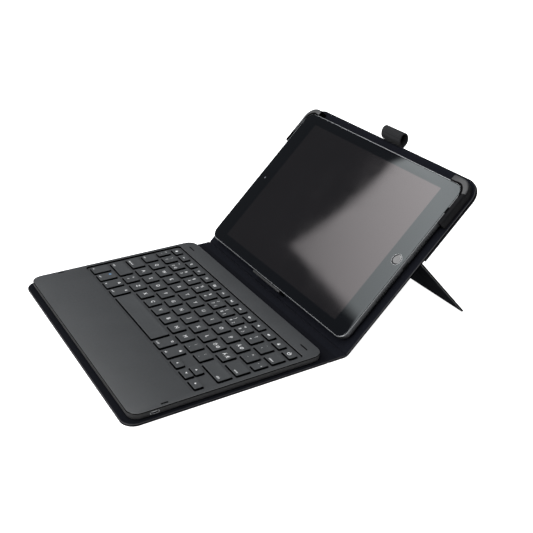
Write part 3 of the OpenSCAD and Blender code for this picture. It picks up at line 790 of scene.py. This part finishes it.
GLASS_Z = 10.4
glass_profile = [(1.3, 9.6), (1.02, 9.7), (1.0, 10.15), (1.08, 10.3), (1.25, 10.38), (1.5, GLASS_Z)]
glass = piece("tablet_front_glass", slab(TABLET_W, TABLET_H, TABLET_R, glass_profile, TABLET_MID, 12),
              ["bezel", "window"], at=BACK)
cut(glass, tube(5.5, 9, 11, BUTTON, 48), at=BACK)
bm = bmesh.new()
bm.from_mesh(glass.data)
DISPLAY = (197.1 / 2, 147.8 / 2)
for x, y in ((1, 0), (-1, 0), (0, 1), (0, -1)):
    edge = Vector((x * DISPLAY[0], TABLET_MID[1] + y * DISPLAY[1], GLASS_Z))
    bmesh.ops.bisect_plane(bm, geom=bm.verts[:] + bm.edges[:] + bm.faces[:], plane_co=BACK @ (edge * MM),
                           plane_no=BACK.to_3x3() @ Vector((x, y, 0)))
for f in bm.faces:
    centre = BACK.inverted() @ f.calc_center_median() / MM
    inside = abs(centre.x) < DISPLAY[0] and abs(centre.y - TABLET_MID[1]) < DISPLAY[1]
    f.material_index = 1 if inside and centre.z > GLASS_Z - 0.01 else 0
bm.to_mesh(glass.data)
bm.free()
glass.data.set_sharp_from_angle(angle=math.radians(CREASE))
belongs(glass, "tablet", ["tablet_glass"])

ring_profile = [(5.45, 9.4), (5.45, 10.33), (5.38, 10.38), (5.2, 10.38), (5.05, 10.25), (5.05, 9.4)]
cap_profile = [(4.7, 9.3), (4.95, 9.4), (4.95, 10.16), (4.8, 10.24), (3.4, 10.21), (1.8, 10.19),
               (0.6, 10.185)]
dot_profile = [(0.9, 10.2), (0.9, 10.41), (0.8, 10.43), (0.4, 10.44)]
piece("home_button_ring", turned(*BUTTON, ring_profile, 48, True), ["ring"], "tablet", BACK)
piece("home_button_cap", turned(*BUTTON, cap_profile, 48), ["button"], "home_button", BACK,
      ["tablet_home_button"])
piece("tablet_front_camera", turned(-109.3, TABLET_Y + 83, dot_profile, 20), ["camera_dot"], "tablet", BACK)

# ---- keyboard unit ----

UNIT_W, UNIT_D, UNIT_R = 247.4, 175.3, 10
UNIT_FRONT = DECK[0].y / MM
UNIT_MID = (0, UNIT_FRONT + UNIT_D / 2)
GROOVE_Z = DECK_Z - 1.15
EDGE_Z = DECK_Z - 0.46
case_profile = [(3.4, 2.42), (2.2, 2.5), (1.3, 2.8), (0.7, 3.3), (0.3, 4.1), (0.08, 5.1), (0, 6.1),
                (0, GROOVE_Z - 0.12), (0.1, GROOVE_Z), (1.9, GROOVE_Z), (1.9, 5.2), (3.6, 3.42)]
case = piece("keyboard_case_shell", slab(UNIT_W, UNIT_D, UNIT_R, case_profile, UNIT_MID, 10),
             # the case's top face inside the groove gets black painted shade
             ["case", "well"], pick=lambda c, n: 1 if c[2] > GROOVE_Z - 0.02 else 0)
socket_low, socket_high = box_mm("usb_socket")
mouth = [[(x, socket_low[1] + 3.8 + a, (socket_low[2] + socket_high[2]) / 2 + b)
          for a, b in outline(7.9, 2.8, 0.7)] for x in (118, 126)]
cut(case, loft(mouth))
belongs(case, "base", ["keyboard_bottom_case"])

WELL_W, WELL_D, WELL_R = 239.8, 103.4, 4
WELL_MID = (0, UNIT_FRONT + 105.7)
WEB_Z = DECK_Z - 1.95


def level_ring(w, d, r, middle, z):
    return [(x + middle[0], y + middle[1], z) for x, y in outline(w, d, r, 10)]


def deck_ring(inset, z):
    return level_ring(UNIT_W - 2 * inset, UNIT_D - 2 * inset, UNIT_R - inset, UNIT_MID, z)


def well_ring(grow, z):
    return level_ring(WELL_W + 2 * grow, WELL_D + 2 * grow, WELL_R + grow, WELL_MID, z)


deck_rings = [well_ring(0, WEB_Z - 0.05), well_ring(0, DECK_Z - 0.12), well_ring(0.1, DECK_Z - 0.02),
              well_ring(0.2, DECK_Z), deck_ring(0.45, DECK_Z), deck_ring(0.3, DECK_Z - 0.04),
              deck_ring(0.08, DECK_Z - 0.22), deck_ring(0.0, DECK_Z - 0.34), deck_ring(0.0, EDGE_Z + 0.05),
              deck_ring(0.08, EDGE_Z), deck_ring(2.2, EDGE_Z), deck_ring(2.2, DECK_Z - 1.4),
              well_ring(1, DECK_Z - 1.4), well_ring(1, WEB_Z - 0.05)]


# well walls, the deck's outer wall and underside, and the front chamfer below its top get black painted
# shade; the other chamfers the lighter painted highlight finish; the top the deck plastic
def deck_material(centre, normal):
    inside = abs(centre[0]) < WELL_W / 2 + 0.05 and abs(centre[1] - WELL_MID[1]) < WELL_D / 2 + 0.05
    if inside and centre[2] < DECK_Z - 0.05:
        return 1
    if centre[2] < DECK_Z - (0.1 if normal[1] < -0.5 else 0.25):
        return 1
    return 2 if not inside and DECK_Z - 0.25 < centre[2] < DECK_Z - 0.001 else 0


deck = piece("keyboard_deck_frame", loft(deck_rings, closed=True), ["deck", "well", "deck_edge"],
             pick=deck_material)
BUMPER_W = {"front_bumpers": 1.6, "rear_bumpers": 10}
BUMPER_GAP = 0.12
slots = []
for node, w in BUMPER_W.items():
    low, high = box_mm(node)
    for x0 in (low[0], high[0] - w):
        slots.append(block((x0 - BUMPER_GAP, low[1] - BUMPER_GAP, DECK_Z - 1.1),
                           (x0 + w + BUMPER_GAP, high[1] + BUMPER_GAP, DECK_Z + 1)))
cut(deck, merged(slots))
belongs(deck, "base")


def islands(node):
    """The boxes of a node's separate solids in millimetres, from left to right."""
    bm = bmesh.new()
    bm.from_mesh(frame["nodes"][node].data)
    bmesh.ops.remove_doubles(bm, verts=bm.verts, dist=1e-6)
    bm.verts.ensure_lookup_table()
    seen, boxes = set(), []
    for v in bm.verts:
        if v.index in seen:
            continue
        stack, group = [v], []
        seen.add(v.index)
        while stack:
            a = stack.pop()
            group.append(a.co / MM)
            for e in a.link_edges:
                b = e.other_vert(a)
                if b.index not in seen:
                    seen.add(b.index)
                    stack.append(b)
        boxes.append(tuple([end(p[i] for p in group) for i in range(3)] for end in (min, max)))
    bm.free()
    return sorted(boxes)


KEY_NODES = [n for n in frame["nodes"] if n.endswith(("_keys", "_key")) or n == "space_bar"]
KEYS = {node: islands(node) for node in KEY_NODES}

# the web between the keys, cut through for each key
KEY_GAP = 0.6
web_profile = [(0, WEB_Z - 0.35), (0, WEB_Z - 0.02), (0.02, WEB_Z)]
# the web's hole walls, and the faces cut for them, get black painted shade
web = piece("keyboard_web", slab(WELL_W - 0.02, WELL_D - 0.02, WELL_R, web_profile, WELL_MID, 10),
            ["deck", "well"], pick=lambda c, n: 0 if n[2] > 0.5 else 1)
key_holes = [slab(high[0] - low[0] + 2 * KEY_GAP, high[1] - low[1] + 2 * KEY_GAP, 1.3,
                  [(0, WEB_Z - 2), (0, WEB_Z + 1)], middle_of(low, high), 3)
             for boxes in KEYS.values() for low, high in boxes]
cut(web, merged(key_holes), materials=["well"])
belongs(web, "base", ["keyboard_deck"])


def bumper_piece(name, node):
    low, high = box_mm(node)
    w = BUMPER_W[node]
    profile = [(0, DECK_Z - 0.9), (0, DECK_Z - 0.05), (0.12, DECK_Z + 0.06), (0.35, DECK_Z + 0.08)]
    parts = [slab(w, high[1] - low[1], 0.6, profile, (x0 + w / 2, (low[1] + high[1]) / 2), 4)
             for x0 in (low[0], high[0] - w)]
    return piece(name, merged(parts), ["bumper"], "base", replaces=[node])


bumper_piece("front_bumper_pads", "front_bumpers")
bumper_piece("rear_bumper_pads", "rear_bumpers")

# ---- keycaps ----

KEY_BOTTOM = DECK_Z - 2
DISH = 0.12


def dish(inset):
    """How far a keycap's top sinks, at a distance from its edge."""
    return DISH * smooth((inset - 0.4) / 4)


def keycap(low, high):
    w, d = high[0] - low[0], high[1] - low[1]
    steps = [(0, KEY_BOTTOM)]
    steps += [(i, DECK_Z - drop) for i, drop in ((0, 0.34), (0.05, 0.16), (0.16, 0.04), (0.34, 0))]
    steps += [(i, DECK_Z - dish(i)) for i in (1.0, 1.7, 2.5, 3.3) if i < min(w, d) / 2 - 0.3]
    return slab(w, d, 1.2, steps, middle_of(low, high), 4)


# the keycap sides below the top edge get the near-black painted shade finish
for node, boxes in KEYS.items():
    piece(node.replace("_keys", "_key") + "_caps", merged([keycap(low, high) for low, high in boxes]),
          ["key", "skirt"], node, replaces=[node],
          pick=lambda c, n: 1 if c[2] < DECK_Z - 0.26 else 0)

# a rubber dome under each key, fixed to the base

DOME_PROFILE = [(3, 0), (2.95, 0.1), (2.6, 0.35), (2.25, 0.75), (2.05, 0.95), (1.9, 1)]
DOMES = [(middle_of(low, high), low[2], high[2]) for low, high in islands("key_domes")]
for node, boxes in KEYS.items():
    own = [dome for dome in DOMES
           if any(low[0] < dome[0][0] < high[0] and low[1] < dome[0][1] < high[1] for low, high in boxes)]
    foot, height = own[0][1], own[0][2] - own[0][1]
    steps = [(r, foot + height * share) for r, share in DOME_PROFILE]
    name = node.replace("_keys", "").replace("_key", "")
    domes = piece(name + "_domes", merged([turned(*spot, steps, 20) for spot, _, _ in own]), ["dome"], "base",
                  replaces=["key_domes"])
    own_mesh(domes)

# ---- legends ----

GLYPHS = {}


def glyph(text):
    """A string's outline as points and faces, one unit high, from Blender's own font."""
    if text not in GLYPHS:
        curve = bpy.data.curves.new("glyph", "FONT")
        curve.body = text
        curve.extrude = 0.5
        curve.resolution_u = 3
        curve.offset = 0.009
        curve.align_x = "CENTER"
        curve.align_y = "CENTER"
        obj = added("glyph", curve)
        graph = bpy.context.evaluated_depsgraph_get()
        mesh = bpy.data.meshes.new_from_object(obj.evaluated_get(graph))
        GLYPHS[text] = ([tuple(v.co) for v in mesh.vertices], [tuple(p.vertices) for p in mesh.polygons])
        bpy.data.objects.remove(obj)
        bpy.data.curves.remove(curve)
        bpy.data.meshes.remove(mesh)
    return GLYPHS[text]


def poly(*loop):
    """A flat shape one unit thick, from its corners."""
    return loft([[(x, y, z) for x, y in loop] for z in (-0.5, 0.5)])


def disc(x, y, r, n=12):
    return poly(*circle(x, y, r, n))


def bar(x0, y0, x1, y1, t=0.16):
    length = math.hypot(x1 - x0, y1 - y0)
    nx, ny = -(y1 - y0) / length * t / 2, (x1 - x0) / length * t / 2
    return poly((x0 + nx, y0 + ny), (x0 - nx, y0 - ny), (x1 - nx, y1 - ny), (x1 + nx, y1 + ny))


def ring_of(x, y, r, t=0.16, a0=0, a1=360, n=14):
    turn = [math.radians(a0 + (a1 - a0) * i / n) for i in range(n + 1)]
    return merged([bar(x + r * math.cos(a), y + r * math.sin(a), x + r * math.cos(b), y + r * math.sin(b), t)
                   for a, b in zip(turn, turn[1:])])


def rays(r0, r1, n=8, t=0.12):
    return merged([bar(r0 * math.cos(a), r0 * math.sin(a), r1 * math.cos(a), r1 * math.sin(a), t)
                   for a in (2 * math.pi * i / n for i in range(n))])


SPEAKER = [poly((-0.5, -0.16), (-0.28, -0.16), (0, -0.42), (0, 0.42), (-0.28, 0.16), (-0.5, 0.16))]
ICONS = {
    "home": [poly((-0.5, 0), (0.5, 0), (0, 0.45)),
             poly((-0.34, -0.45), (0.34, -0.45), (0.34, 0), (-0.34, 0))],
    "back": [bar(-0.45, 0, 0.4, 0), poly((-0.5, 0), (-0.15, -0.3), (-0.15, 0.3))],
    "find": [ring_of(-0.1, 0.1, 0.28), bar(0.12, -0.12, 0.42, -0.42, 0.18)],
    "dim": [disc(0, 0, 0.16), rays(0.26, 0.36)],
    "bright": [disc(0, 0, 0.22), rays(0.32, 0.5)],
    "keys": [bar(-0.5, 0.3, 0.5, 0.3), bar(-0.5, -0.3, 0.5, -0.3), bar(-0.44, -0.3, -0.44, 0.3),
             bar(0.44, -0.3, 0.44, 0.3), bar(-0.25, 0, 0.25, 0)],
    "previous": [poly((-0.05, -0.32), (-0.05, 0.32), (-0.42, 0)), poly((0.4, -0.32), (0.4, 0.32), (0.03, 0))],
    "play": [poly((-0.42, -0.36), (0.05, 0), (-0.42, 0.36)), bar(0.18, -0.34, 0.18, 0.34, 0.13),
             bar(0.4, -0.34, 0.4, 0.34, 0.13)],
    "next": [poly((0.05, -0.32), (0.05, 0.32), (0.42, 0)), poly((-0.4, -0.32), (-0.4, 0.32), (-0.03, 0))],
    "mute": SPEAKER + [bar(0.14, -0.18, 0.48, 0.18, 0.12), bar(0.14, 0.18, 0.48, -0.18, 0.12)],
    "quiet": SPEAKER + [bar(0.16, -0.16, 0.16, 0.16, 0.12)],
    "loud": SPEAKER + [bar(0.16, -0.16, 0.16, 0.16, 0.12), bar(0.36, -0.3, 0.36, 0.3, 0.12)],
    "lock": [poly((-0.34, -0.42), (0.34, -0.42), (0.34, 0.06), (-0.34, 0.06)),
             ring_of(0, 0.1, 0.24, 0.13, 0, 180, 8)],
    "power": [ring_of(0, -0.03, 0.36, 0.14, -235, 55), bar(0, 0.02, 0, 0.5, 0.15)],
    "diamond": [ring_of(0, 0, 0.36, 0.15, 45, 405, 4)],
    "left": [poly((-0.4, 0), (0.3, -0.4), (0.3, 0.4))],
    "right": [poly((0.4, 0), (-0.3, -0.4), (-0.3, 0.4))],
    "up": [poly((0, 0.4), (-0.4, -0.3), (0.4, -0.3))],
    "down": [poly((0, -0.4), (-0.4, 0.3), (0.4, 0.3))],
}


def mark(shape, size, x, y, low, high):
    """A glyph or icon printed on a keycap at a spot, following the dish of its top."""
    points, faces = merged(ICONS[shape]) if shape in ICONS else glyph(shape)
    out = []
    for px, py, pz in points:
        gx, gy = x + px * size, y + py * size
        inset = min(gx - low[0], high[0] - gx, gy - low[1], high[1] - gy)
        out.append((gx, gy, DECK_Z - dish(inset) + 0.012 + 0.016 * (pz > 0) - 0.03 * (pz <= 0)))
    return out, faces


def at_centre(text, size=5.0):
    return lambda low, high: [mark(text, size, *middle_of(low, high), low, high)]


def at_low(text, side=-1, size=2.6):
    """A word in the low corner of a key: side is -1 for the left one and 1 for the right one."""
    def make(low, high):
        inward = 1.6 + 0.56 * size * len(text) / 2
        x = low[0] + inward if side < 0 else high[0] - inward
        return [mark(text, size, x, low[1] + 1.9 + size / 4, low, high)]
    return make


def stacked(low_mark, high_mark, third=None, size=4.0):
    def make(low, high):
        cx, cy = middle_of(low, high)
        dx = 2.6 if third else 1.0
        out = [mark(text, size, cx - dx, cy + dy, low, high)
               for text, dy in ((low_mark, -2.7), (high_mark, 2.7))]
        if third:
            out.append(mark(third, size * 0.85, cx + 2.8, cy - 2.7, low, high))
        return out
    return make


def beside(first, second, size=4.4):
    def make(low, high):
        cx, cy = middle_of(low, high)
        return [mark(first, size, cx - 2.4, cy, low, high), mark(second, size, cx + 2.4, cy, low, high)]
    return make


def word_and_icon(word, icon):
    def make(low, high):
        cx = (low[0] + high[0]) / 2
        return at_low(word)(low, high) + [mark(icon, 3.2, cx + 2.2, high[1] - 3, low, high)]
    return make


FUNCTIONS = ["home", "back", "find", "dim", "bright", "keys", "previous", "play", "next", "mute", "quiet",
             "loud", "lock", "power"]
LEGENDS = {
    "function_keys": [at_centre(icon, 4.6 if icon == "power" else 3.4) for icon in FUNCTIONS],
    "number_keys": [stacked("'", "*", size=3.4)] + [stacked(*marks) for marks in (
        "1!", '2"@', "3#", "4$", "5%", "6&", "7/{", "8([", "9)]", "0=}", "+?", "'`")],
    "backspace_key": [at_low("delete", 1)],
    "tab_key": [at_low("tab")],
    "top_letter_keys": [*map(at_centre, "QWERTYUIOP"), beside("Å", "Ø"), stacked("¨", "^"),
                        beside("'", "*", 3.4)],
    "caps_lock_key": [at_low("caps lock")],
    "home_letter_keys": [*map(at_centre, "ASDFGHJKL"), beside("Ö", "Ø"), beside("Ä", "Æ")],
    "enter_key": [at_low("enter", 1)],
    "left_shift_key": [at_low("shift")],
    "bottom_letter_keys": [stacked("<", ">"), *map(at_centre, "ZXCVBNM"), stacked(",", ";"),
                           stacked(".", ":")],
    "right_shift_key": [at_low("shift", 1)],
    "left_modifier_keys": [at_low("fn"), at_low("ctrl"), word_and_icon("alt", "lock"),
                           word_and_icon("cmd", "diamond")],
    "right_modifier_keys": [word_and_icon("cmd", "diamond"), word_and_icon("alt", "lock")],
    **{f"arrow_{way}_key": [at_centre(way, 2.6)] for way in ("left", "down", "up", "right")},
}

low, high = KEYS["left_modifier_keys"][1]
spot = (low[0] + 4.4, high[1] - 4.2)
piece("left_modifier_key_blue_legend", mark("diamond", 3.4, *spot, low, high), ["legend_blue"],
      "left_modifier_keys")

for node, makers in LEGENDS.items():
    parts = [part for make, (low, high) in zip(makers, KEYS[node]) for part in make(low, high)]
    piece(node.replace("_keys", "_key") + "_legends", merged(parts), ["legend"], node)

# ---- finishes of the CAD nodes that stay ----

for node, kind in (("base_board", "board"), ("spine_board", "board"), ("back_board", "board"),
                   ("stand_board", "board"), ("key_support_plate", "plate"), ("key_membrane", "membrane"),
                   ("main_board", "pcb"), ("bluetooth_module", "can"), ("battery", "cell"),
                   ("ribbon_cable", "ribbon"), ("usb_socket", "socket"), ("case_screws", "screw"),
                   ("closure_magnets", "magnet"), ("cradle_plate", "cradle"), ("tablet_battery", "cell"),
                   ("tablet_display", "window"), ("tablet_rear_camera", "lens")):
    finishes = frame["nodes"][node].data.materials
    finishes.clear()
    finishes.append(M[kind])

# ---- floor and light ----

floor_mesh = bpy.data.meshes.new("floor")
FLOOR_HALF, FLOOR_Z = 12, -0.0003
floor_corners = [(x * FLOOR_HALF, y * FLOOR_HALF, FLOOR_Z) for x, y in ((-1, -1), (1, -1), (1, 1), (-1, 1))]
floor_mesh.from_pydata(floor_corners, [], [(0, 1, 2, 3)])
floor = added("floor", floor_mesh)
pale = Finish("pale_floor", (0.9, 0.9, 0.9), 0.9, Emission_Color=(1, 1, 1, 1), Emission_Strength=1.0)
pale.tint(pale.noise(3, 2), (0.88, 0.88, 0.88))
floor_mesh.materials.append(pale.material)
floor.visible_diffuse = False


def sun(name, strength, angle, direction):
    light = bpy.data.lights.new(name, "SUN")
    light.energy = strength
    light.angle = math.radians(angle)
    added(name, light).rotation_euler = Vector(direction).to_track_quat("Z", "Y").to_euler()


sun("overhead", 3.1, 80, (0.06, -0.5, 1))
sun("fill", 1.3, 50, (0.12, -1, 0.08))

world = bpy.data.worlds.new("studio")
SCENE.world = world
world.use_nodes = True
feed(world.node_tree.nodes["Background"], Color=(0.9, 0.95, 1.0, 1), Strength=0.16)

# A soft box whose mirror image in the tablet's glass makes the bright wedge on its right side
NORMAL = (BACK.to_3x3() @ Vector((0, 0, 1))).normalized()
ON_GLASS = BACK @ Vector((0, 0, GLASS_Z * MM))
MIRRORED_EYE = EYE - NORMAL * (2 * (EYE - ON_GLASS).dot(NORMAL))
BOX_AT = 1.1


def glow(x, y):
    """How bright the soft box's image is at a spot of the glass: a soft-edged wedge, narrower at its tip."""
    upper = x - 30 + 0.0052 * max(172 - y, 0) ** 1.85
    lower = y - 47 + 0.133 * x
    upper /= 14 + 8 * smooth(1 - abs(y - 122) / 45)
    lower /= 7 + 7 * smooth(x / 110)
    return smooth(upper + 0.5) * smooth(lower + 0.5) * min(0.30 + 0.0038 * x + 0.0039 * y, 1.3)


CELLS = 80
SPAN_X, SPAN_Y = (-60, 300), (-60, 330)
FADE_CELLS = 4
GLOW_STRENGTH = 4.6
box_points, box_faces, levels = [], [], []
middle = BACK @ (Vector((60, 90, GLASS_Z)) * MM)
toward = (middle - MIRRORED_EYE).normalized()
box_distance = (middle - MIRRORED_EYE).length + BOX_AT
for j in range(CELLS + 1):
    for i in range(CELLS + 1):
        x, y = SPAN_X[0] + SPAN_X[1] * i / CELLS, SPAN_Y[0] + SPAN_Y[1] * j / CELLS
        ray = BACK @ (Vector((x, y, GLASS_Z)) * MM) - MIRRORED_EYE
        box_points.append(MIRRORED_EYE + ray * (box_distance / ray.dot(toward)))
        levels.append(glow(x, y) * smooth(min(i, CELLS - i, j, CELLS - j) / FADE_CELLS))
for j in range(CELLS):
    for i in range(CELLS):
        a = j * (CELLS + 1) + i
        box_faces.append((a, a + 1, a + CELLS + 2, a + CELLS + 1))
soft_mesh = bpy.data.meshes.new("soft_box")
soft_mesh.from_pydata(box_points, [], box_faces)
level_layer = soft_mesh.attributes.new("level", "FLOAT", "POINT")
level_layer.data.foreach_set("value", levels)
soft_box = added("soft_box", soft_mesh)
lit = bpy.data.materials.new("soft_box")
lit.use_nodes = True
tree = lit.node_tree
tree.nodes.clear()
attribute, strength, emission, clear, both, output = (
    tree.nodes.new("ShaderNode" + kind)
    for kind in ("Attribute", "Math", "Emission", "BsdfTransparent", "AddShader", "OutputMaterial"))
attribute.attribute_name = "level"
strength.operation = "MULTIPLY"
strength.inputs[1].default_value = GLOW_STRENGTH
tree.links.new(attribute.outputs["Fac"], strength.inputs[0])
feed(emission, Strength=strength.outputs[0])
tree.links.new(emission.outputs[0], both.inputs[0])
tree.links.new(clear.outputs[0], both.inputs[1])
feed(output, Surface=both.outputs[0])
soft_mesh.materials.append(lit)
for ray_kind in ("camera", "diffuse", "transmission", "volume_scatter", "shadow"):
    setattr(soft_box, "visible_" + ray_kind, False)

SCENE.view_settings.view_transform = "Standard"
